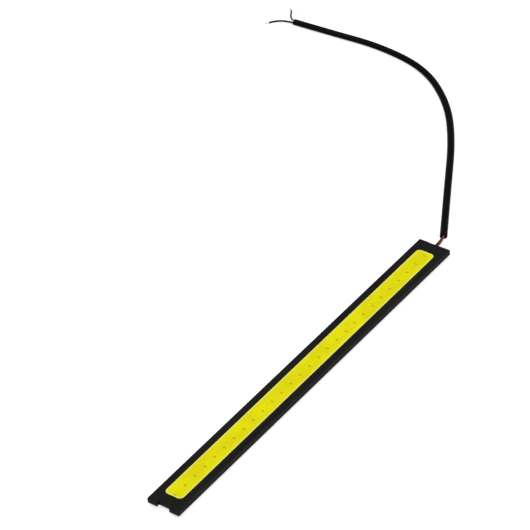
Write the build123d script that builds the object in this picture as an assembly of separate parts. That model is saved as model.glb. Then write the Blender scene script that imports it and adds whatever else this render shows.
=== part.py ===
from build123d import *
from math import cos, radians, sin, tan
import os

# Slim stick-on daytime running light: a black bar with one long pool of yellow phosphor and a two-wire lead.
# The bar lies along X with its lead at the +X end. Light leaves along +Z, and z = 0 is the liner's underside.

# Bar
BAR_LENGTH = 170.0
BAR_WIDTH = 14.0
BAR_CORNER_RADIUS = 0.3
TOP_CHAMFER = 0.08
NOTCH_WIDTH = 5.5
NOTCH_DEPTH = 1.2

# Foam tape and release liner on the back
TAPE_WIDTH = 12.0
TAPE_THICKNESS = 1.0
TAPE_END_MARGIN = 5.0
LINER_THICKNESS = 0.1

# Light board, sunk in the bar's pocket
BOARD_WIDTH = 7.85
BOARD_THICKNESS = 0.6
BOARD_END_MARGIN = 5.6
BOARD_CORNER_RADIUS = 1.8
BOARD_CLEARANCE = 0.05
GLUE_THICKNESS = 0.1

# Strings of light chips, each with its series resistor
STRING_PITCH = 5.76
CHIPS_PER_STRING = 3
FIRST_RESISTOR_INSET = 0.9
LAST_RESISTOR_INSET = 1.6
RESISTOR_Y = -0.5
RESISTOR_LENGTH = 1.05
RESISTOR_WIDTH = 0.46
RESISTOR_HEIGHT = 0.4
CHIP_LENGTH = 0.55
CHIP_WIDTH = 0.3
CHIP_HEIGHT = 0.12

# Silicone dam that holds the phosphor gel level with the resistors' tops and the bar's
DAM_WIDTH = 0.45
DAM_RISE = 0.1
DAM_SLOPE = 0.2

# Two wires in a sleeve
WIRE_DIAMETER = 0.8
WIRE_CORE_DIAMETER = 0.44
WIRE_CLEARANCE = 0.05
WIRE_SPREAD_AT_BAR = 1.0
PAIR_TILT = 45.0
BARE_TIP = 1.8
SLEEVE_WALL = 0.45
SLEEVE_MOUTH_DEPTH = 2.0

# Channel in the bar's back that takes the wires to the board, and what fills it
CHANNEL_SIDE_ROOM = 0.3
WINDOW_LENGTH = 2.7
WIRE_START_INSET = 4.4
SOLDERED_LENGTH = 1.8
SOLDER_COVER = 0.1
SOLDER_END_COVER = 0.25
SOLDER_SIDE_COVER = 0.18
SOLDER_SLOPE = 0.2
SEALANT_RECESS = 0.1

# Route of the lead, measured from the middle of the bar's lead end, in X and Y along the surface it lies on
WIRE_STRAIGHT = 2.1
SLEEVE_POINTS = [
    (7.35, 1.2), (33.2, 16.45), (61.2, 33.4), (81.15, 48.8),
    (96.5, 69.9), (100.7, 95.6), (98.8, 119.1), (97.75, 138.1),
]
# Each wire runs straight into the sleeve and out of it, then along a tail of its own, given with its height.
# In the sleeve the red wire lies to the right of the black one and higher, at the pair's tilt in degrees.
ENTRY_RUN = 1.0
BLACK_EXIT_RUN = 1.0
BLACK_TAIL = [(96.05, 144.75, 0.7), (93.3, 147.8, 0.42)]
RED_EXIT_RUN = 1.5
RED_TAIL = [(101.6, 141.85, 1.0), (105.15, 144.5, 0.5)]
ARC_SHARE = 0.45

# Sizes that follow from those above
BOARD_LENGTH = BAR_LENGTH - 2 * BOARD_END_MARGIN
TAPE_LENGTH = BAR_LENGTH - 2 * TAPE_END_MARGIN
FLOOR_THICKNESS = WIRE_DIAMETER + 2 * WIRE_CLEARANCE
DAM_HEIGHT = RESISTOR_HEIGHT + DAM_RISE
PAIR_SPACING = WIRE_DIAMETER + WIRE_CLEARANCE
SLEEVE_BORE = 2 * WIRE_DIAMETER + 4 * WIRE_CLEARANCE
SLEEVE_DIAMETER = SLEEVE_BORE + 2 * SLEEVE_WALL
CHANNEL_WIDTH = WIRE_SPREAD_AT_BAR + WIRE_DIAMETER + 2 * CHANNEL_SIDE_ROOM
LEAD_END_X = BAR_LENGTH / 2
WINDOW_END_X = BOARD_LENGTH / 2
WINDOW_START_X = WINDOW_END_X - WINDOW_LENGTH
SOLDER_X = WINDOW_START_X + WINDOW_LENGTH / 2

# Heights, from the liner up
TAPE_Z = LINER_THICKNESS
BAR_Z = TAPE_Z + TAPE_THICKNESS
POCKET_Z = BAR_Z + FLOOR_THICKNESS
BOARD_Z = POCKET_Z + GLUE_THICKNESS
BOARD_TOP_Z = BOARD_Z + BOARD_THICKNESS
TOP_Z = BOARD_TOP_Z + RESISTOR_HEIGHT
BAR_THICKNESS = TOP_Z - BAR_Z
WIRE_Z = BAR_Z + FLOOR_THICKNESS / 2
SLEEVE_Z = SLEEVE_DIAMETER / 2


def slab(length, width, radius, low, height):
    """Flat plate with rounded corners, centred on the bar, from a height up."""
    return extrude(Pos(0, 0, low) * RectangleRounded(length, width, radius), height)


def block(x_low, x_high, width, z_low, z_high):
    """Box centred across the bar."""
    size = Box(x_high - x_low, width, z_high - z_low, align=(Align.MIN, Align.CENTER, Align.MIN))
    return Pos(x_low, 0, z_low) * size


# Tape and liner, cut square from a roll
def make_strip(low, high):
    return block(-TAPE_LENGTH / 2, TAPE_LENGTH / 2, TAPE_WIDTH, low, high)


# Bar
def make_base_plate():
    bar = slab(BAR_LENGTH, BAR_WIDTH, BAR_CORNER_RADIUS, BAR_Z, BAR_THICKNESS)
    bar = chamfer(bar.faces().sort_by(Axis.Z)[-1].edges(), TOP_CHAMFER)
    bar -= block(-LEAD_END_X, NOTCH_DEPTH - LEAD_END_X, NOTCH_WIDTH, BAR_Z, TOP_Z)
    bar -= block(LEAD_END_X - NOTCH_DEPTH, LEAD_END_X, NOTCH_WIDTH, BAR_Z, TOP_Z)
    pocket = slab(
        BOARD_LENGTH + 2 * BOARD_CLEARANCE,
        BOARD_WIDTH + 2 * BOARD_CLEARANCE,
        BOARD_CORNER_RADIUS + BOARD_CLEARANCE,
        POCKET_Z,
        TOP_Z - POCKET_Z,
    )
    channel = block(WINDOW_START_X, LEAD_END_X, CHANNEL_WIDTH, BAR_Z, POCKET_Z)
    return bar - pocket - channel


# Board and the glue film under it, which is open over the wires
def make_led_board():
    return slab(BOARD_LENGTH, BOARD_WIDTH, BOARD_CORNER_RADIUS, BOARD_Z, BOARD_THICKNESS)


def glue_window():
    return block(WINDOW_START_X, WINDOW_END_X, CHANNEL_WIDTH, POCKET_Z, BOARD_Z)


def make_board_glue():
    film = slab(BOARD_LENGTH, BOARD_WIDTH, BOARD_CORNER_RADIUS, POCKET_Z, GLUE_THICKNESS)
    return film - glue_window()


# Chips and resistors
def resistor_places():
    first = -BOARD_LENGTH / 2 + FIRST_RESISTOR_INSET
    room = BOARD_LENGTH - FIRST_RESISTOR_INSET - LAST_RESISTOR_INSET
    return [first + STRING_PITCH * i for i in range(int(room / STRING_PITCH) + 1)]


def make_series_resistors():
    standing = (Align.CENTER, Align.CENTER, Align.MIN)
    resistor = Box(RESISTOR_WIDTH, RESISTOR_LENGTH, RESISTOR_HEIGHT, align=standing)
    return [Pos(x, RESISTOR_Y, BOARD_TOP_Z) * resistor for x in resistor_places()]


def make_led_chips():
    """Three chips follow each resistor along the row. Those of the last one stand across the strip's end."""
    chip = Box(CHIP_LENGTH, CHIP_WIDTH, CHIP_HEIGHT, align=(Align.CENTER, Align.CENTER, Align.MIN))
    step = STRING_PITCH / (CHIPS_PER_STRING + 1)
    places = resistor_places()
    chips = []
    for x in places[:-1]:
        chips += [Pos(x + step * (i + 1), 0, BOARD_TOP_Z) * chip for i in range(CHIPS_PER_STRING)]
    end_x = (places[-1] + RESISTOR_WIDTH / 2 + BOARD_LENGTH / 2 - DAM_WIDTH) / 2
    middle = (CHIPS_PER_STRING - 1) / 2
    chips += [Pos(end_x, step * (i - middle), BOARD_TOP_Z) * chip for i in range(CHIPS_PER_STRING)]
    return chips


# Dam and gel: the dam runs along the board's edge, beside the wall of the bar's pocket
def pool(height):
    return slab(
        BOARD_LENGTH - 2 * DAM_WIDTH,
        BOARD_WIDTH - 2 * DAM_WIDTH,
        BOARD_CORNER_RADIUS - DAM_WIDTH,
        BOARD_TOP_Z,
        height,
    )


def make_dam_ring():
    bead = slab(BOARD_LENGTH, BOARD_WIDTH, BOARD_CORNER_RADIUS, BOARD_TOP_Z, DAM_HEIGHT) - pool(DAM_HEIGHT)
    crest = bead.faces().sort_by(Axis.Z)[-1]
    bead = chamfer(crest.outer_wire().edges(), DAM_SLOPE)
    crest = bead.faces().sort_by(Axis.Z)[-1]
    return chamfer(crest.inner_wires()[0].edges(), DAM_RISE)


def make_phosphor_gel(buried):
    return pool(RESISTOR_HEIGHT) - buried


# Lead
def on_axis(mouth, inner, depth):
    """Point on the sleeve's axis: inside the mouth, or outside it where the depth is negative."""
    return mouth + (inner - mouth).normalized() * depth


def beside(side, run):
    """Run along the sleeve's axis, moved left and down for the black wire, right and up for the red one."""
    line = (run[-1] - run[0]).normalized()
    tilt = radians(PAIR_TILT)
    shift = Vector(-line.Y * cos(tilt), line.X * cos(tilt), -sin(tilt)) * (side * PAIR_SPACING / 2)
    return [point + shift for point in run]


def arc_radii(points):
    """One radius for each bend, as large as the shorter of its two runs allows."""
    radii = []
    for before, bend, after in zip(points, points[1:], points[2:]):
        arriving = bend - before
        leaving = after - bend
        half_turn = radians(arriving.get_angle(leaving)) / 2
        radii.append(ARC_SHARE * min(arriving.length, leaving.length) / tan(half_turn))
    return radii


def tube(points, diameter):
    path = FilletPolyline(*points, radius=arc_radii(points))
    return sweep(Plane(origin=path @ 0, z_dir=path % 0) * Circle(diameter / 2), path=path)


def rod(start, end, diameter):
    run = end - start
    return extrude(Plane(origin=start, z_dir=run) * Circle(diameter / 2), run.length)


def make_wire_sleeve(route):
    """Between its two mouths the sleeve is solid, and each wire stops at the bottom of a mouth."""
    sleeve = tube(route, SLEEVE_DIAMETER)
    for mouth, inner in ((route[0], route[1]), (route[-1], route[-2])):
        sleeve -= rod(mouth, on_axis(mouth, inner, SLEEVE_MOUTH_DEPTH), SLEEVE_BORE)
    return sleeve


def entry_route(side, mouth, inner):
    """One wire from inside the bar into the sleeve."""
    entry_y = side * WIRE_SPREAD_AT_BAR / 2
    start = Vector(LEAD_END_X - WIRE_START_INSET, entry_y, WIRE_Z)
    leaving_bar = Vector(LEAD_END_X + WIRE_STRAIGHT, entry_y, WIRE_Z)
    run = [on_axis(mouth, inner, -ENTRY_RUN), on_axis(mouth, inner, SLEEVE_MOUTH_DEPTH)]
    return [start, leaving_bar] + beside(side, run)


def exit_route(side, mouth, inner, exit_run, tail):
    """One wire from inside the sleeve's far mouth to the end of its insulation."""
    run = [on_axis(mouth, inner, SLEEVE_MOUTH_DEPTH), on_axis(mouth, inner, -exit_run)]
    return beside(side, run) + [Vector(LEAD_END_X + x, y, z) for x, y, z in tail]


def make_core(entry, tail):
    """A wire's strands where they are bare: the soldered end and the tip."""
    soldered_end = Vector(SOLDER_X - SOLDERED_LENGTH / 2, entry[0].Y, entry[0].Z)
    tip_end = on_axis(tail[-1], tail[-2], -BARE_TIP)
    return [rod(soldered_end, entry[0], WIRE_CORE_DIAMETER), rod(tail[-1], tip_end, WIRE_CORE_DIAMETER)]


def make_solder_joint(side, soldered_end):
    """Loaf of solder that hangs from the board's underside round the end of a wire's strands."""
    length = SOLDERED_LENGTH + 2 * SOLDER_END_COVER
    width = WIRE_CORE_DIAMETER + 2 * SOLDER_SIDE_COVER
    height = BOARD_Z - WIRE_Z + WIRE_CORE_DIAMETER / 2 + SOLDER_COVER
    loaf = Box(length, width, height, align=(Align.CENTER, Align.CENTER, Align.MAX))
    loaf = chamfer(loaf.faces().sort_by(Axis.Z)[0].edges(), SOLDER_SLOPE)
    return Pos(SOLDER_X, side * WIRE_SPREAD_AT_BAR / 2, BOARD_Z) * loaf - soldered_end


def make_lead_sealant(buried):
    fill_end_x = LEAD_END_X - SEALANT_RECESS
    fill = block(WINDOW_START_X, fill_end_x, CHANNEL_WIDTH, BAR_Z, POCKET_Z) + glue_window()
    fill += block(LEAD_END_X - NOTCH_DEPTH, fill_end_x, NOTCH_WIDTH, BAR_Z, TOP_Z - SEALANT_RECESS)
    return fill - buried


series_resistors = make_series_resistors()
led_chips = make_led_chips()

sleeve_route = [Vector(LEAD_END_X + x, y, SLEEVE_Z) for x, y in SLEEVE_POINTS]
red_entry = entry_route(-1, sleeve_route[0], sleeve_route[1])
red_tail = exit_route(-1, sleeve_route[-1], sleeve_route[-2], RED_EXIT_RUN, RED_TAIL)
black_entry = entry_route(1, sleeve_route[0], sleeve_route[1])
black_tail = exit_route(1, sleeve_route[-1], sleeve_route[-2], BLACK_EXIT_RUN, BLACK_TAIL)
for route in (sleeve_route, red_entry, red_tail, black_entry, black_tail):
    print("bend radii:", [round(radius, 1) for radius in arc_radii(route)])

red_wire = [tube(red_entry, WIRE_DIAMETER), tube(red_tail, WIRE_DIAMETER)]
black_wire = [tube(black_entry, WIRE_DIAMETER), tube(black_tail, WIRE_DIAMETER)]
red_core = make_core(red_entry, red_tail)
black_core = make_core(black_entry, black_tail)
solder_joints = [make_solder_joint(-1, red_core[0]), make_solder_joint(1, black_core[0])]
buried_ends = [red_wire[0], black_wire[0], red_core[0], black_core[0]] + solder_joints

parts = {
    "release_liner": make_strip(0, TAPE_Z),
    "foam_tape": make_strip(TAPE_Z, BAR_Z),
    "base_plate": make_base_plate(),
    "board_glue": make_board_glue(),
    "led_board": make_led_board(),
    "led_chips": Compound(children=led_chips),
    "series_resistors": Compound(children=series_resistors),
    "dam_ring": make_dam_ring(),
    "phosphor_gel": make_phosphor_gel(series_resistors + led_chips),
    "solder_joints": Compound(children=solder_joints),
    "lead_sealant": make_lead_sealant(buried_ends),
    "red_wire": Compound(children=red_wire),
    "red_wire_core": Compound(children=red_core),
    "black_wire": Compound(children=black_wire),
    "black_wire_core": Compound(children=black_core),
    "wire_sleeve": make_wire_sleeve(sleeve_route),
}

os.makedirs("parts", exist_ok=True)
for name, shape in parts.items():
    export_step(shape, f"parts/{name}.step")
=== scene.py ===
import math
import bmesh
import bpy
from mathutils import Matrix, Quaternion, Vector


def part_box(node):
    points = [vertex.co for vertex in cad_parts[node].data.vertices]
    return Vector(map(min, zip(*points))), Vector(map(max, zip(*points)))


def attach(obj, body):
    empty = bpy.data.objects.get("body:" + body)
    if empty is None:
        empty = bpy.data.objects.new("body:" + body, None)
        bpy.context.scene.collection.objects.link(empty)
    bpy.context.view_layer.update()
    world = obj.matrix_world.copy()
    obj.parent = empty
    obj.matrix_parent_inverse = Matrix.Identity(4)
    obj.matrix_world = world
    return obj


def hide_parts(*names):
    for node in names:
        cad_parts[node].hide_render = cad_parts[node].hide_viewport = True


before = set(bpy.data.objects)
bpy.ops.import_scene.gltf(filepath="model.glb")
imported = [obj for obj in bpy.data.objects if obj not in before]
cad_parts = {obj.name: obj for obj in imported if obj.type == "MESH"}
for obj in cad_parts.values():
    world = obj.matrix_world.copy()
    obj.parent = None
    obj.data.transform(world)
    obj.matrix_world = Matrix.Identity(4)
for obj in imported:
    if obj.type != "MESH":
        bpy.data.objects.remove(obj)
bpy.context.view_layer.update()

# Bar
# One extruded aluminium bar with a pocket for the light board and a notch sawn in each end.
# It is brushed along its length, then anodised a satin black that is thinnest on the edges of its bevel.
MM = 0.001
BEVEL = 0.08
_, bar_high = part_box("base_plate")


class Socket:
    """One output of a node tree. Sums on it add Math nodes, and node() adds any other node."""

    def __init__(self, tree, output):
        self.tree = tree
        self.output = output

    def node(self, kind, settings, inputs, output=0):
        """Adds a node: its settings first, then the values or links of its sockets."""
        made = self.tree.nodes.new(kind)
        for name, value in settings.items():
            setattr(made, name, value)
        for name, value in inputs.items():
            if isinstance(value, Socket):
                self.tree.links.new(value.output, made.inputs[name])
            else:
                made.inputs[name].default_value = value
        return Socket(self.tree, made.outputs[output])

    def math(self, operation, first, second=0.0):
        """Adds a Math node."""
        return self.node("ShaderNodeMath", {"operation": operation}, {0: first, 1: second})

    def __add__(self, other):
        return self.math("ADD", self, other)

    def __radd__(self, other):
        return self.math("ADD", other, self)

    def __sub__(self, other):
        return self.math("SUBTRACT", self, other)

    def __rsub__(self, other):
        return self.math("SUBTRACT", other, self)

    def __mul__(self, other):
        return self.math("MULTIPLY", self, other)

    def __truediv__(self, other):
        return self.math("DIVIDE", self, other)

    def __abs__(self):
        return self.math("ABSOLUTE", self)


def new_finish(name):
    """An empty material, and the place on the piece in millimetres, which its patterns read."""
    finish = bpy.data.materials.new(name)
    finish.use_nodes = True
    tree = finish.node_tree
    tree.nodes.clear()
    metres = Socket(tree, tree.nodes.new("ShaderNodeTexCoord").outputs["Object"])
    place = metres.node("ShaderNodeVectorMath", {"operation": "SCALE"}, {0: metres, "Scale": 1 / MM})
    return finish, place


def axis(place, name):
    """One axis of a place: X, Y or Z."""
    return place.node("ShaderNodeSeparateXYZ", {}, {0: place}, name)


def grain(place, per_mm, detail=2.0):
    """Soft noise from 0 to 1, with about so many spots to the millimetre along X, Y and Z."""
    scaled = place.node("ShaderNodeVectorMath", {"operation": "MULTIPLY"}, {0: place, 1: per_mm})
    return place.node("ShaderNodeTexNoise", {}, {"Vector": scaled, "Scale": 1.0, "Detail": detail})


def soft_step(value, start, end):
    """Rises from 0 at the start to 1 at the end, or falls where the end is lower."""
    settings = {"interpolation_type": "SMOOTHSTEP"}
    return value.node("ShaderNodeMapRange", settings, {"Value": value, "From Min": start, "From Max": end})


def tint(share, first, second):
    """The first colour where the share is 0, the second where it is 1."""
    return share.node("ShaderNodeMix", {"data_type": "RGBA"}, {0: share, 6: first, 7: second}, 2)


def coat(place, colour, roughness, relief, depth, constants):
    """Closes a finish: its colour, its roughness, and a relief that stands so many millimetres high."""
    bump = place.node("ShaderNodeBump", {}, {"Height": relief, "Distance": depth * MM, "Strength": 1.0})
    sockets = {"Base Color": colour, "Roughness": roughness, "Normal": bump, **constants}
    surface = place.node("ShaderNodeBsdfPrincipled", {}, sockets)
    end = place.tree.nodes.new("ShaderNodeOutputMaterial")
    place.tree.links.new(surface.output, end.inputs["Surface"])


def dress(node, finish):
    """Gives a solid of the frame its finish."""
    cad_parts[node].material_slots[0].material = finish


black_anodised, place = new_finish("black_anodised")
bar_half_width = bar_high.y / MM
bar_top = bar_high.z / MM
from_side = bar_half_width - abs(axis(place, "Y"))
from_top = bar_top - axis(place, "Z")
upper_edge = (from_side - BEVEL) * (from_side - BEVEL) + from_top * from_top
lower_edge = from_side * from_side + (from_top - BEVEL) * (from_top - BEVEL)
edge = soft_step(place.math("MINIMUM", upper_edge, lower_edge), 0.006, 0.0)
brushing = soft_step(grain(place, (0.04, 5.0, 5.0), 4.0), 0.25, 0.75)
clouds = grain(place, (0.09, 0.3, 0.3))
speckle = soft_step(grain(place, (7.0, 7.0, 7.0)), 0.66, 0.8)
body = tint(clouds * 0.4 + brushing * 0.6, (0.0035, 0.0035, 0.0033, 1), (0.0164, 0.0164, 0.0155, 1))
body = tint(speckle * 0.35, body, (0.03, 0.03, 0.032, 1))
body = tint(edge * clouds, body, (0.045, 0.046, 0.05, 1))
coat(place, body, 0.36 + brushing * 0.18 - edge * 0.08, brushing, 0.004, {"Specular IOR Level": 0.032})
dress("base_plate", black_anodised)

# Board and the glue under it
# The board is a thin aluminium sheet with a white mask on its top, over copper tracks that show as faint
# ridges. A film of white heat-carrying glue, spread with a comb, holds it in the bar's pocket.
TRACK_MIDDLE = 1.6
TRACK_HALF_WIDTH = 0.95
board_mask, place = new_finish("board_mask")
dust = grain(place, (3.0, 3.0, 3.0), 4.0)
off_track = abs(abs(axis(place, "Y")) - TRACK_MIDDLE)
tracks = soft_step(off_track, TRACK_HALF_WIDTH, TRACK_HALF_WIDTH - 0.05)
mask = tint(dust, (0.74, 0.74, 0.7, 1), (0.86, 0.86, 0.83, 1))
coat(place, mask, 0.38 + dust * 0.12, tracks + dust * 0.2, 0.02, {})
dress("led_board", board_mask)

pocket_glue, place = new_finish("pocket_glue")
comb = place.math("SINE", axis(place, "X") * 2.6 + grain(place, (0.6, 0.6, 0.6)) * 3.0)
lumps = grain(place, (1.5, 1.5, 1.5), 3.0)
paste = tint(lumps, (0.62, 0.62, 0.6, 1), (0.78, 0.78, 0.75, 1))
coat(place, paste, 0.6 + lumps * 0.15, comb * 0.3 + lumps, 0.03, {})
dress("board_glue", pocket_glue)

# Light chips and series resistors
# Each chip is a sapphire block with thin metal fingers on its top. Each resistor is a dark printed body
# between two dull tin caps. They are soldered to the board and lie under the gel.
RESISTOR_COUNT = 28
RESISTOR_WIDTH = 0.46
CAP_LENGTH = 0.22
FINGER_SPACING = 0.05
resistor_low, resistor_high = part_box("series_resistors")
resistor_middle = (resistor_low.y + resistor_high.y) / MM / 2
resistor_half_length = (resistor_high.y - resistor_low.y) / MM / 2
first_resistor = resistor_low.x / MM + RESISTOR_WIDTH / 2
last_resistor = resistor_high.x / MM - RESISTOR_WIDTH / 2
resistor_pitch = (last_resistor - first_resistor) / (RESISTOR_COUNT - 1)
cap_start = resistor_half_length - CAP_LENGTH

sapphire, place = new_finish("sapphire")
off_finger = abs(place.math("PINGPONG", axis(place, "Y"), FINGER_SPACING) - FINGER_SPACING / 2)
fingers = soft_step(off_finger, 0.012, 0.004)
cloud = grain(place, (5.0, 5.0, 5.0))
crystal = tint(cloud, (0.22, 0.32, 0.46, 1), (0.34, 0.45, 0.6, 1))
crystal = tint(fingers, crystal, (0.78, 0.7, 0.45, 1))
coat(place, crystal, 0.12 + fingers * 0.2, fingers, 0.003, {"Coat Weight": 0.4})
dress("led_chips", sapphire)

printed_resistor, place = new_finish("printed_resistor")
off_body = abs(axis(place, "Y") - resistor_middle)
cap = soft_step(off_body, cap_start - 0.02, cap_start)
print_grain = grain(place, (9.0, 9.0, 9.0), 3.0)
printed = tint(print_grain, (0.012, 0.012, 0.012, 1), (0.035, 0.034, 0.03, 1))
printed = tint(cap, printed, (0.5, 0.49, 0.46, 1))
coat(place, printed, 0.5 - cap * 0.1 + print_grain * 0.1, cap * 0.5 + print_grain * 0.3, 0.01, {})
dress("series_resistors", printed_resistor)

# Silicone dam
# A bead of pale silicone, laid by a needle along the board's edge, holds the gel while it cures.
# Its section is a half round with full shoulders. It stands beside the wall of the bar's pocket, and its
# height wavers a little.
BOARD_CORNER = 1.8
BEAD_STEP = 0.3
BEAD_SPOTS = 0.25
BEAD_WAVER = 0.05
BEAD_FULLNESS = 0.6
dam_low, dam_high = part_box("dam_ring")
gel_low, gel_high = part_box("phosphor_gel")
bead_width = dam_high.y - gel_high.y
bead_height = dam_high.z - dam_low.z
bead_corner = BOARD_CORNER * MM - bead_width / 2


def new_tree(name, inputs):
    """A Geometry Nodes tree with named inputs. Gives the tree and its inputs as sockets."""
    tree = bpy.data.node_groups.new(name, "GeometryNodeTree")
    for label, kind in inputs.items():
        tree.interface.new_socket(label, in_out="INPUT", socket_type=kind)
    tree.interface.new_socket("Geometry", in_out="OUTPUT", socket_type="NodeSocketGeometry")
    group = tree.nodes.new("NodeGroupInput")
    return tree, {label: Socket(tree, group.outputs[label]) for label in inputs}


def close_tree(shape, finish):
    """Ends a tree: real meshes, smooth, with their finish."""
    shape = shape.node("GeometryNodeRealizeInstances", {}, {0: shape})
    shape = shape.node("GeometryNodeSetShadeSmooth", {}, {"Geometry": shape})
    shape = shape.node("GeometryNodeSetMaterial", {}, {"Geometry": shape, "Material": finish})
    end = shape.tree.nodes.new("NodeGroupOutput")
    shape.tree.links.new(shape.output, end.inputs[0])


def grow(tree, base, values):
    """Runs a tree on an object and gives the result as a plain mesh."""
    modifier = base.modifiers.new(tree.name, "NODES")
    modifier.node_group = tree
    for item in tree.interface.items_tree:
        if item.in_out == "INPUT" and item.name in values:
            modifier[item.identifier] = values[item.name]
    grown = base.evaluated_get(bpy.context.evaluated_depsgraph_get())
    mesh = bpy.data.meshes.new_from_object(grown)
    base.modifiers.remove(modifier)
    return mesh


def new_piece(name, mesh):
    """Puts a finished mesh in the scene, on the lamp's one body."""
    mesh.name = name
    piece = bpy.data.objects.new(name, mesh)
    bpy.context.scene.collection.objects.link(piece)
    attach(piece, "root")
    return piece


bead_tree, bead = new_tree("dam_bead", {
    "Length": "NodeSocketFloat",
    "Width": "NodeSocketFloat",
    "Corner": "NodeSocketFloat",
    "Bead Width": "NodeSocketFloat",
    "Bead Height": "NodeSocketFloat",
    "Fullness": "NodeSocketFloat",
    "Base Height": "NodeSocketFloat",
    "Step": "NodeSocketFloat",
    "Waver": "NodeSocketFloat",
    "Spots": "NodeSocketFloat",
    "Finish": "NodeSocketMaterial",
})
start = bead["Length"]
path = start.node("GeometryNodeCurvePrimitiveQuadrilateral", {"mode": "RECTANGLE"},
                  {"Width": bead["Length"], "Height": bead["Width"]})
path = start.node("GeometryNodeFilletCurve", {"mode": "POLY"},
                  {"Curve": path, "Count": 12, "Radius": bead["Corner"]})
path = start.node("GeometryNodeResampleCurve", {"mode": "LENGTH"}, {"Curve": path, "Length": bead["Step"]})
path = start.node("GeometryNodeSetCurveNormal", {"mode": "Z_UP"}, {"Curve": path})
where = start.node("GeometryNodeInputPosition", {}, {})
spots = start.node("ShaderNodeTexNoise", {}, {"Vector": where, "Scale": bead["Spots"] / MM, "Detail": 1.0})
path = start.node("GeometryNodeSetCurveRadius", {}, {"Curve": path, "Radius": 1.0 - bead["Waver"] * spots})
ring = start.node("GeometryNodeCurvePrimitiveCircle", {"mode": "RADIUS"}, {"Resolution": 28, "Radius": 1.0})
around = start.node("GeometryNodeInputPosition", {}, {})
sideways = axis(around, "X")
upwards = start.math("MAXIMUM", 0.0 - axis(around, "Y"), 0.0)
shoulder = start.math("SIGN", sideways) * start.math("POWER", abs(sideways), bead["Fullness"])
crest = start.math("POWER", upwards, bead["Fullness"])
section = start.node("ShaderNodeCombineXYZ", {}, {
    "X": shoulder * bead["Bead Width"] / 2,
    "Y": 0.0 - crest * bead["Bead Height"],
})
ring = start.node("GeometryNodeSetPosition", {}, {"Geometry": ring, "Position": section})
swept = start.node("GeometryNodeCurveToMesh", {}, {"Curve": path, "Profile Curve": ring, "Fill Caps": False})
lift = start.node("ShaderNodeCombineXYZ", {}, {"Z": bead["Base Height"]})
swept = start.node("GeometryNodeTransform", {}, {"Geometry": swept, "Translation": lift})
close_tree(swept, bead["Finish"])

pale_silicone, place = new_finish("pale_silicone")
haze = grain(place, (0.8, 1.6, 1.6), 3.0)
flow = grain(place, (0.25, 2.5, 2.5))
silicone = tint(haze, (0.74, 0.71, 0.1, 1), (0.86, 0.83, 0.17, 1))
coat(place, silicone, 0.3 + flow * 0.15, flow, 0.008, {"Specular IOR Level": 0.3})

blank = bpy.data.objects.new("blank", bpy.data.meshes.new("blank"))
bpy.context.scene.collection.objects.link(blank)
dam_bead = new_piece("dam_bead", grow(bead_tree, blank, {
    "Length": dam_high.x - dam_low.x - bead_width,
    "Width": dam_high.y - dam_low.y - bead_width,
    "Corner": bead_corner,
    "Bead Width": bead_width,
    "Bead Height": bead_height,
    "Fullness": BEAD_FULLNESS,
    "Base Height": dam_low.z,
    "Step": BEAD_STEP * MM,
    "Waver": BEAD_WAVER,
    "Spots": BEAD_SPOTS,
    "Finish": pale_silicone,
}))
bpy.data.objects.remove(blank)
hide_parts("dam_ring")

# Phosphor gel
# Yellow phosphor in soft silicone, poured into the dam in one pool. It creeps up the bead as it cures, thin
# and pale there, and lies over each resistor as a film, through which the resistor shows as a dark mark.
GEL_CLIMB = 0.03
GEL_CREEP = 0.12
GEL_TUCK = 0.06
FILM = 0.014
FILM_LAP = 0.02
FILM_SLOPE = 0.1
FILM_COLUMNS = (0.1, 0.24, 0.29, 0.36)
FILM_ROWS = (0.15, 0.35, 0.47, 0.53, 0.58, 0.63)
EDGE_COLUMNS = (0, 0.02, 0.06, 0.13, 0.22, 0.34, 0.5, 0.7, 0.95, 1.2, 1.5)
EDGE_ROWS = (0, 0.03, 0.08, 0.15, 0.25, 0.4, 0.7, 1.1, 1.6, 2.1)
PLAIN_SPANS = 8
END_SPAN = 0.3
CLOSEST_COLUMNS = 0.012
gel_level = gel_high.z / MM
gel_base = gel_low.z / MM
pool_half_length = gel_high.x / MM
pool_half_width = gel_high.y / MM
pool_corner = (bead_corner - bead_width / 2) / MM


def depth_from_edge(x, y, half_length, half_width, corner):
    """How far a place lies inside the pool's rounded outline."""
    past_x = abs(x) - half_length + corner
    past_y = abs(y) - half_width + corner
    outside = math.hypot(max(past_x, 0), max(past_y, 0))
    return corner - outside - min(max(past_x, past_y), 0)


def fade(value, start, end):
    """The same rise as a soft step, for plain numbers."""
    share = min(max((value - start) / (end - start), 0), 1)
    return share * share * (3 - 2 * share)


def gel_height(x, y):
    """The gel's surface: level, creeping up at the dam, and raised by the film over each resistor."""
    edge_depth = depth_from_edge(x, y, top_half_length, top_half_width, top_corner)
    climb = GEL_CLIMB * math.exp(-max(edge_depth, 0) / GEL_CREEP)
    step = (x - first_resistor) / resistor_pitch
    off_x = abs(step - round(step)) * resistor_pitch
    off_y = abs(y - resistor_middle)
    over_x = fade(off_x, RESISTOR_WIDTH / 2 + FILM_SLOPE, RESISTOR_WIDTH / 2 + FILM_LAP)
    over_y = fade(off_y, resistor_half_length + FILM_SLOPE, resistor_half_length + FILM_LAP)
    return gel_level + climb + FILM * over_x * over_y


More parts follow.
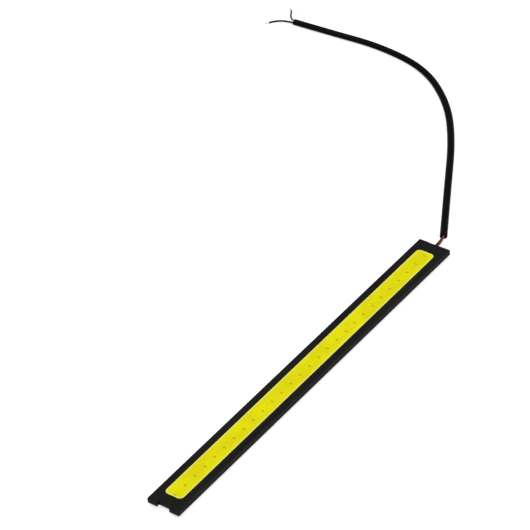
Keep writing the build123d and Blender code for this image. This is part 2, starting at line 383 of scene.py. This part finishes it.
top_half_length = pool_half_length + GEL_TUCK
top_half_width = pool_half_width + GEL_TUCK
top_corner = pool_corner + GEL_TUCK
film_reach = FILM_COLUMNS[-1]
plain_length = resistor_pitch - 2 * film_reach
columns = set()
for i in range(RESISTOR_COUNT):
    middle = first_resistor + i * resistor_pitch
    for off in FILM_COLUMNS:
        columns.update((round(middle - off, 3), round(middle + off, 3)))
    if i < RESISTOR_COUNT - 1:
        plain = (middle + film_reach + plain_length * j / PLAIN_SPANS for j in range(1, PLAIN_SPANS))
        columns.update(round(x, 3) for x in plain)
for inset in EDGE_COLUMNS:
    columns.update((round(-top_half_length + inset, 3), round(top_half_length - inset, 3)))
columns.update(round(last_resistor + film_reach + END_SPAN * j, 3) for j in (1, 2))
columns = sorted(columns)
columns = [x for x, after in zip(columns, columns[1:] + [math.inf]) if after - x > CLOSEST_COLUMNS]
rows = set()
for off in FILM_ROWS:
    rows.update((resistor_middle - off, resistor_middle + off))
for inset in EDGE_ROWS:
    rows.update((inset - top_half_width, top_half_width - inset))
rows = sorted(rows)

pool = bmesh.new()
edge_layer = pool.verts.layers.float.new("edge_depth")
grid = []
for x in columns:
    past = max(abs(x) - top_half_length + top_corner, 0)
    half_width = top_half_width - top_corner + math.sqrt(max(top_corner ** 2 - past ** 2, 0))
    line = []
    for y in rows:
        y = y * half_width / top_half_width
        vertex = pool.verts.new(Vector((x, y, gel_height(x, y))) * MM)
        vertex[edge_layer] = depth_from_edge(x, y, top_half_length, top_half_width, top_corner)
        line.append(vertex)
    grid.append(line)
for left, right in zip(grid, grid[1:]):
    for a, b, c, d in zip(left, right, right[1:], left[1:]):
        pool.faces.new((a, b, c, d))
rim = [line[0] for line in grid] + grid[-1][1:]
rim += [line[-1] for line in reversed(grid[:-1])] + grid[0][-2:0:-1]
scale_x = pool_half_length / top_half_length
scale_y = pool_half_width / top_half_width
foot = []
for vertex in rim:
    x, y = vertex.co.x / MM, vertex.co.y / MM
    foot.append(pool.verts.new(Vector((x * scale_x, y * scale_y, gel_base)) * MM))
for i, vertex in enumerate(rim):
    after = (i + 1) % len(rim)
    pool.faces.new((vertex, foot[i], foot[after], rim[after]))
pool.faces.new(list(reversed(foot)))
for face in pool.faces:
    face.smooth = len(face.verts) == 4
bmesh.ops.recalc_face_normals(pool, faces=pool.faces)
gel_mesh = bpy.data.meshes.new("gel_pool")
pool.to_mesh(gel_mesh)
pool.free()

yellow_gel, place = new_finish("yellow_gel")
along = axis(place, "X")
across = abs(axis(place, "Y") - resistor_middle)
off_middle = abs(place.math("PINGPONG", along - first_resistor, resistor_pitch / 2))
blur = grain(place, (5.0, 5.0, 5.0)) * 0.04
mark = soft_step(off_middle + blur, RESISTOR_WIDTH / 2 + 0.09, RESISTOR_WIDTH / 2 - 0.04)
mark = mark * soft_step(across + blur, resistor_half_length + 0.07, resistor_half_length - 0.04)
cap_end = mark * soft_step(across, cap_start - 0.1, cap_start + 0.06)
# Painted shade: the gel's colour is darkened in a soft ring around each resistor, where the resistor under
# the film shades the gel.
painted_shade_ring = soft_step(off_middle, RESISTOR_WIDTH / 2 + 0.75, RESISTOR_WIDTH / 2)
painted_shade_ring = painted_shade_ring * soft_step(across, resistor_half_length + 0.9, resistor_half_length - 0.1)
settled = soft_step(grain(place, (0.1, 0.22, 0.22)), 0.3, 0.7)
powder = grain(place, (12.0, 12.0, 12.0))
gel = tint(settled * 0.7 + powder * 0.3, (0.662, 0.608, 0.0, 1), (0.745, 0.726, 0.0, 1))
edge_depth = place.node("ShaderNodeAttribute", {"attribute_name": "edge_depth"}, {}, "Fac")
gel = tint(soft_step(edge_depth, 0.5, 0.0) * 0.45, gel, (0.8, 0.77, 0.14, 1))
gel = tint(painted_shade_ring * 0.1, gel, (0.45, 0.39, 0.0, 1))
gel = tint(mark * 0.64, gel, (0.24, 0.205, 0.0, 1))
gel = tint(cap_end * 0.3, gel, (0.2, 0.17, 0.0, 1))
coat(place, gel, 0.46 + powder * 0.14, powder * 0.6 + settled, 0.004, {"Specular IOR Level": 0.06})
gel_mesh.materials.append(yellow_gel)
gel_pool = new_piece("gel_pool", gel_mesh)
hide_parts("phosphor_gel")

# Solder joints and sealant
# Each wire is soldered to a pad under the board's lead end. Black sealant then fills the channel in the bar's
# back and the notch, so that no water gets in. Its open face is uneven, as it was levelled by hand.
dull_solder, place = new_finish("dull_solder")
frost = grain(place, (6.0, 6.0, 6.0), 4.0)
tin = tint(frost, (0.5, 0.5, 0.5, 1), (0.68, 0.68, 0.67, 1))
coat(place, tin, 0.3 + frost * 0.25, frost, 0.01, {"Metallic": 1.0})
dress("solder_joints", dull_solder)

cured_sealant, place = new_finish("cured_sealant")
waves = grain(place, (0.9, 0.9, 0.9), 3.0)
pits = soft_step(grain(place, (3.5, 3.5, 3.5)), 0.3, 0.24)
rubber = tint(waves, (0.006, 0.006, 0.006, 1), (0.013, 0.013, 0.013, 1))
coat(place, rubber, 0.5 + waves * 0.2, waves - pits * 0.6, 0.06, {"Specular IOR Level": 0.05})
dress("lead_sealant", cured_sealant)

# Route of the lead
# Two wires come out of the bar's end, go into a sleeve, run side by side all through it, and part at its end.
# The points are in millimetres from the middle of the bar's lead end. The lead lies on the surface, and the
# wires press the sleeve a little oval, with its girth as before.
WIRE = 0.8
WIRE_PAIR = 0.85
PAIR_TILT = math.radians(45)
WIRE_SPREAD = 1.0
WIRE_HEIGHT = 1.55
WIRE_START = -4.4
WIRE_STRAIGHT = 0.8
SLEEVE = 2.7
SLEEVE_PRESSED_WIDTH = 3.0
SLEEVE_WALL = 0.45
SLEEVE_POINTS = [
    (7.59, 1.27), (33.4, 16.65), (61.58, 33.3), (81.47, 48.92),
    (96.8, 70.08), (100.92, 95.77), (98.96, 119.25), (97.84, 137.59),
]
ENTRY_RUN = 1.0
ENTRY_LEAN = 0.2
ENTRY_HOLD = 3.5
lead_end = Vector((bar_high.x / MM, 0, 0))
sleeve_pressed_height = math.sqrt(2 * SLEEVE ** 2 - SLEEVE_PRESSED_WIDTH ** 2)
sleeve_route = [lead_end + Vector((x, y, sleeve_pressed_height / 2)) for x, y in SLEEVE_POINTS]


def on_axis(mouth, inner, depth):
    """A point on the sleeve's axis: inside a mouth, or outside it where the depth is negative."""
    return mouth + (inner - mouth).normalized() * depth


def beside(points, shift, rise):
    """A route moved to the left along the surface, and up. A minus moves it right, or down."""
    runs = [(after - before).normalized() for before, after in zip(points, points[1:])]
    lefts = [Vector((-run.y, run.x, 0)) for run in runs]
    lift = Vector((0, 0, rise))
    moved = [points[0] + lefts[0] * shift + lift]
    for point, before, after in zip(points[1:], lefts, lefts[1:] + lefts[-1:]):
        moved.append(point + (before + after) * (shift / (1 + before.dot(after))) + lift)
    return moved


def wire_route(side, exit_run, exit_hold, tail):
    """Control points of one wire, from inside the bar to the end of its insulation."""
    entry_y = side * WIRE_SPREAD / 2
    start = [lead_end + Vector((x, entry_y, WIRE_HEIGHT)) for x in (WIRE_START, WIRE_STRAIGHT)]
    near, after_near = sleeve_route[:2]
    far, before_far = sleeve_route[-1], sleeve_route[-2]
    middle = [on_axis(near, after_near, -ENTRY_RUN), on_axis(near, after_near, ENTRY_HOLD)]
    middle += sleeve_route[1:-1]
    middle += [on_axis(far, before_far, exit_hold), on_axis(far, before_far, -exit_run)]
    half = side * WIRE_PAIR / 2
    middle = beside(middle, half * math.cos(PAIR_TILT), -half * math.sin(PAIR_TILT))
    middle[0].y += ENTRY_LEAN
    return start + middle + [lead_end + Vector(point) for point in tail]


def lead_line(name, points):
    """The smooth line of a wire or of the sleeve, with no thickness."""
    curve = bpy.data.curves.new(name, "CURVE")
    curve.dimensions = "3D"
    spline = curve.splines.new("NURBS")
    spline.points.add(len(points) - 1)
    for control, point in zip(spline.points, points):
        control.co = (*(point * MM), 1.0)
    spline.order_u = 3
    spline.use_endpoint_u = True
    spline.resolution_u = 24
    line = bpy.data.objects.new(name, curve)
    bpy.context.scene.collection.objects.link(line)
    return line


def read_line(line):
    """The places along a line, in order from its start."""
    places = bpy.data.meshes.new_from_object(line.evaluated_get(bpy.context.evaluated_depsgraph_get()))
    points = [vertex.co.copy() for vertex in places.vertices]
    bpy.data.meshes.remove(places)
    return points


tube_tree, tube = new_tree("lead_tube", {
    "Line": "NodeSocketGeometry",
    "Width": "NodeSocketFloat",
    "Height": "NodeSocketFloat",
    "Ring Spacing": "NodeSocketFloat",
    "Sides": "NodeSocketInt",
    "Closed Ends": "NodeSocketBool",
    "Finish": "NodeSocketMaterial",
})
start = tube["Line"]
path = start.node("GeometryNodeResampleCurve", {"mode": "LENGTH"},
                  {"Curve": tube["Line"], "Length": tube["Ring Spacing"]})
run = start.node("GeometryNodeSplineParameter", {}, {}, "Length")
path = start.node("GeometryNodeStoreNamedAttribute", {"data_type": "FLOAT", "domain": "POINT"},
                  {"Geometry": path, "Name": "run", "Value": run})
path = start.node("GeometryNodeSetCurveNormal", {"mode": "Z_UP"}, {"Curve": path})
ring = start.node("GeometryNodeCurvePrimitiveCircle", {"mode": "RADIUS"},
                  {"Resolution": tube["Sides"], "Radius": 0.5})
around = start.node("GeometryNodeInputPosition", {}, {})
oval = start.node("ShaderNodeCombineXYZ", {},
                  {"X": axis(around, "X") * tube["Width"], "Y": axis(around, "Y") * tube["Height"]})
ring = start.node("GeometryNodeSetPosition", {}, {"Geometry": ring, "Position": oval})
ring = start.node("GeometryNodeStoreNamedAttribute", {"data_type": "FLOAT_VECTOR", "domain": "POINT"},
                  {"Geometry": ring, "Name": "around", "Value": around})
swept = start.node("GeometryNodeCurveToMesh", {},
                   {"Curve": path, "Profile Curve": ring, "Fill Caps": tube["Closed Ends"]})
close_tree(swept, tube["Finish"])


def along_tube(place):
    """Where a spot lies on a tube, in millimetres: across its section, then along its run."""
    section = place.node("ShaderNodeAttribute", {"attribute_name": "around"}, {}, "Vector")
    run = place.node("ShaderNodeAttribute", {"attribute_name": "run"}, {}, "Fac")
    section = place.node("ShaderNodeVectorMath", {"operation": "SCALE"}, {0: section, "Scale": 1 / MM})
    spot = {"X": axis(section, "X"), "Y": axis(section, "Y"), "Z": run / MM}
    return place.node("ShaderNodeCombineXYZ", {}, spot)


# Black wire and red wire
# Thin stranded wires in smooth plastic insulation, stripped at both ends, where the tinned strands stay
# twisted. The insulation is drawn on hot, which leaves faint lines along it and a slightly uneven gloss.
BARE_TIP = 1.8
BLACK_EXIT = (1.6, 4.3)
BLACK_TAIL = [(96.05, 144.75, 0.7), (92.96, 147.46, 0.42)]
RED_EXIT = (1.15, 3.0)
RED_TAIL = [(101.15, 142.09, 1.0), (103.87, 143.38, 0.7), (104.97, 144.51, 0.5)]
STRAND = 0.15
STRAND_COUNT = 6
TWIST = 0.9
SOLDERED_START = -7.85


def insulation(name, dark, light):
    """The finish of a wire, between its darkest and its lightest colour."""
    finish, place = new_finish(name)
    spot = along_tube(place)
    drawn = grain(spot, (6.0, 6.0, 0.05))
    cloud = grain(spot, (0.8, 0.8, 0.25))
    colour = tint(cloud * 0.7 + drawn * 0.3, dark, light)
    coat(place, colour, 0.36 + cloud * 0.16, drawn, 0.003, {"Specular IOR Level": 0.06})
    return finish


def make_wire(name, route, finish):
    """An insulated wire along its route, and the places along its middle."""
    line = lead_line(name + "_line", route)
    points = read_line(line)
    mesh = grow(tube_tree, line, {
        "Width": WIRE * MM, "Height": WIRE * MM, "Ring Spacing": 0.5 * MM, "Sides": 14, "Closed Ends": True,
        "Finish": finish,
    })
    bpy.data.objects.remove(line)
    return new_piece(name, mesh), points


strand_tree, strand = new_tree("strand_bundle", {
    "Strand": "NodeSocketFloat",
    "Count": "NodeSocketInt",
    "Length": "NodeSocketFloat",
    "Turns": "NodeSocketFloat",
    "Finish": "NodeSocketMaterial",
})
start = strand["Strand"]
spiral = start.node("GeometryNodeCurveSpiral", {}, {
    "Resolution": 32, "Rotations": strand["Turns"], "Start Radius": strand["Strand"],
    "End Radius": strand["Strand"], "Height": strand["Length"],
})
ring = start.node("GeometryNodeCurvePrimitiveCircle", {"mode": "RADIUS"},
                  {"Resolution": 8, "Radius": strand["Strand"] / 2})
wound = start.node("GeometryNodeCurveToMesh", {}, {"Curve": spiral, "Profile Curve": ring, "Fill Caps": True})
places = start.node("GeometryNodePoints", {}, {"Count": strand["Count"]})
turn = start.node("GeometryNodeInputIndex", {}, {}) * 2 * math.pi / strand["Count"]
turned = start.node("ShaderNodeCombineXYZ", {}, {"Z": turn})
outer = start.node("GeometryNodeInstanceOnPoints", {},
                   {"Points": places, "Instance": wound, "Rotation": turned})
tip = start.node("ShaderNodeCombineXYZ", {}, {"Z": strand["Length"]})
core_line = start.node("GeometryNodeCurvePrimitiveLine", {"mode": "POINTS"}, {"End": tip})
core = start.node("GeometryNodeCurveToMesh", {},
                  {"Curve": core_line, "Profile Curve": ring, "Fill Caps": True})
bundle = start.node("GeometryNodeJoinGeometry", {}, {"Geometry": outer})
start.tree.links.new(core.output, bundle.output.node.inputs["Geometry"])
close_tree(bundle, strand["Finish"])

tinned_strands, place = new_finish("tinned_strands")
dull = grain(place, (4.0, 4.0, 4.0), 3.0)
tin = tint(dull, (0.55, 0.53, 0.5, 1), (0.72, 0.71, 0.69, 1))
coat(place, tin, 0.26 + dull * 0.2, dull, 0.004, {"Metallic": 1.0})


def make_strands(name, ends):
    """Twisted strands between each pair of places: the soldered end and the bare tip."""
    bundles = bmesh.new()
    for first, last in ends:
        blank = bpy.data.objects.new("blank", bpy.data.meshes.new("blank"))
        bpy.context.scene.collection.objects.link(blank)
        length = (last - first).length
        mesh = grow(strand_tree, blank, {
            "Strand": STRAND * MM, "Count": STRAND_COUNT, "Length": length,
            "Turns": TWIST * length / (BARE_TIP * MM), "Finish": tinned_strands,
        })
        turn = (last - first).to_track_quat("Z", "Y").to_matrix().to_4x4()
        mesh.transform(Matrix.Translation(first) @ turn)
        bundles.from_mesh(mesh)
        bpy.data.objects.remove(blank)
    mesh = bpy.data.meshes.new(name)
    bundles.to_mesh(mesh)
    bundles.free()
    mesh.materials.append(tinned_strands)
    return new_piece(name, mesh)


for colour, side, leaving, tail, dark, light in (
    ("black", 1, BLACK_EXIT, BLACK_TAIL, (0.003, 0.003, 0.0033, 1), (0.007, 0.007, 0.0075, 1)),
    ("red", -1, RED_EXIT, RED_TAIL, (0.15, 0.025, 0.028, 1), (0.22, 0.04, 0.043, 1)),
):
    route = wire_route(side, *leaving, tail)
    wire, points = make_wire(colour + "_insulation", route, insulation(colour + "_insulation", dark, light))
    last_run = (points[-1] - points[-2]).normalized()
    soldered = Vector((lead_end.x + SOLDERED_START, side * WIRE_SPREAD / 2, WIRE_HEIGHT)) * MM
    strands = make_strands(colour + "_strands", [
        (soldered, points[0]), (points[-1], points[-1] + last_run * BARE_TIP * MM),
    ])
    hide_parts(colour + "_wire")
    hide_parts(colour + "_wire_core")

# Sleeve
# A soft black plastic tube, cut square at both ends, pulled over the two wires.
# It is half matt, with faint lines along it from the die, and its cut ends are a little rounded.
black_tube, place = new_finish("black_tube")
spot = along_tube(place)
drawn = grain(spot, (4.0, 4.0, 0.03))
dust = grain(spot, (1.2, 1.2, 0.4), 4.0)
vinyl = tint(dust, (0.0006, 0.0006, 0.0007, 1), (0.0028, 0.0028, 0.003, 1))
coat(place, vinyl, 0.32 + dust * 0.14, drawn, 0.01, {"Specular IOR Level": 0.05})
line = lead_line("sleeve_line", sleeve_route)
sleeve_points = read_line(line)
sleeve_mesh = grow(tube_tree, line, {
    "Width": SLEEVE_PRESSED_WIDTH * MM, "Height": sleeve_pressed_height * MM, "Ring Spacing": 0.8 * MM,
    "Sides": 28, "Closed Ends": False, "Finish": black_tube,
})
bpy.data.objects.remove(line)
sleeve_tube = new_piece("sleeve_tube", sleeve_mesh)
wall = sleeve_tube.modifiers.new("wall", "SOLIDIFY")
wall.thickness = SLEEVE_WALL * MM
wall.offset = -1
lip = sleeve_tube.modifiers.new("lip", "BEVEL")
lip.width = 0.1 * MM
lip.segments = 3
lip.limit_method = "ANGLE"
lip.angle_limit = math.radians(60)
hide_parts("wire_sleeve")

# Foam tape and release liner
# A strip of white closed-cell foam with adhesive on both faces, cut square, is stuck along the bar's back.
# A thin milky film covers the lower adhesive until the lamp is stuck on.
cell_foam, place = new_finish("cell_foam")
cells = place.node("ShaderNodeTexVoronoi", {"feature": "F1"}, {"Vector": place, "Scale": 6.0}, "Distance")
patches = grain(place, (0.5, 0.5, 0.5), 3.0)
foam = tint(soft_step(cells, 0.1, 0.6) * 0.6 + patches * 0.4, (0.62, 0.62, 0.63, 1), (0.83, 0.83, 0.84, 1))
coat(place, foam, 0.75 + patches * 0.15, cells, 0.06, {"Specular IOR Level": 0.3})
dress("foam_tape", cell_foam)

milky_film, place = new_finish("milky_film")
ripples = grain(place, (0.15, 0.4, 0.4), 3.0)
bubbles = soft_step(grain(place, (1.3, 1.3, 1.3)), 0.68, 0.78)
film = tint(ripples * 0.6 + bubbles * 0.4, (0.76, 0.77, 0.76, 1), (0.88, 0.88, 0.87, 1))
coat(place, film, 0.22 + ripples * 0.14, ripples + bubbles * 0.3, 0.03, {"Coat Weight": 0.3})
dress("release_liner", milky_film)

# Floor, light and camera
# A plain white floor under an even white sky, with one broad soft lamp overhead.
# The camera stands where the photograph was taken from, far off, with a long lens and a slight roll.
FLOOR_REACH = 6.0
FLOOR_DROP = 0.05 * MM
floor_finish, place = new_finish("floor_white")
paper = grain(place, (0.02, 0.02, 0.02))
white = tint(paper, (0.44, 0.44, 0.44, 1), (0.46, 0.46, 0.46, 1))
coat(place, white, 0.8 + paper * 0.05, paper, 0.01,
     {"Specular IOR Level": 0.0, "Emission Color": (1, 1, 1, 1), "Emission Strength": 0.72})
floor_mesh = bpy.data.meshes.new("floor")
corners = [(x * FLOOR_REACH, y * FLOOR_REACH, -FLOOR_DROP) for x, y in ((-1, -1), (1, -1), (1, 1), (-1, 1))]
floor_mesh.from_pydata(corners, [], [(0, 1, 2, 3)])
floor_mesh.materials.append(floor_finish)
floor = bpy.data.objects.new("floor", floor_mesh)
bpy.context.scene.collection.objects.link(floor)

sky = bpy.data.worlds.new("white_sky")
sky.use_nodes = True
sky.node_tree.nodes["Background"].inputs["Color"].default_value = (1, 1, 1, 1)
sky.node_tree.nodes["Background"].inputs["Strength"].default_value = 0.33
bpy.context.scene.world = sky

softbox_data = bpy.data.lights.new("softbox", "AREA")
softbox_data.shape = "RECTANGLE"
softbox_data.size = 1.6
softbox_data.size_y = 1.6
softbox_data.energy = 18.5
softbox = bpy.data.objects.new("softbox", softbox_data)
softbox.location = (0.1, 0.05, 1.3)
bpy.context.scene.collection.objects.link(softbox)

EYE = Vector((-0.668034, -0.548558, 0.736309))
AIM = Vector((0.04459, 0.05131, 0.0))
ROLL = -5.971
camera_data = bpy.data.cameras.new("camera")
camera_data.lens = 210.87
camera_data.sensor_width = 36.0
camera = bpy.data.objects.new("camera", camera_data)
camera.location = EYE
camera.rotation_mode = "QUATERNION"
camera.rotation_quaternion = (AIM - EYE).to_track_quat("-Z", "Y") @ Quaternion((0, 0, 1), math.radians(ROLL))
bpy.context.scene.collection.objects.link(camera)
bpy.context.scene.camera = camera
bpy.context.scene.view_settings.view_transform = "Standard"
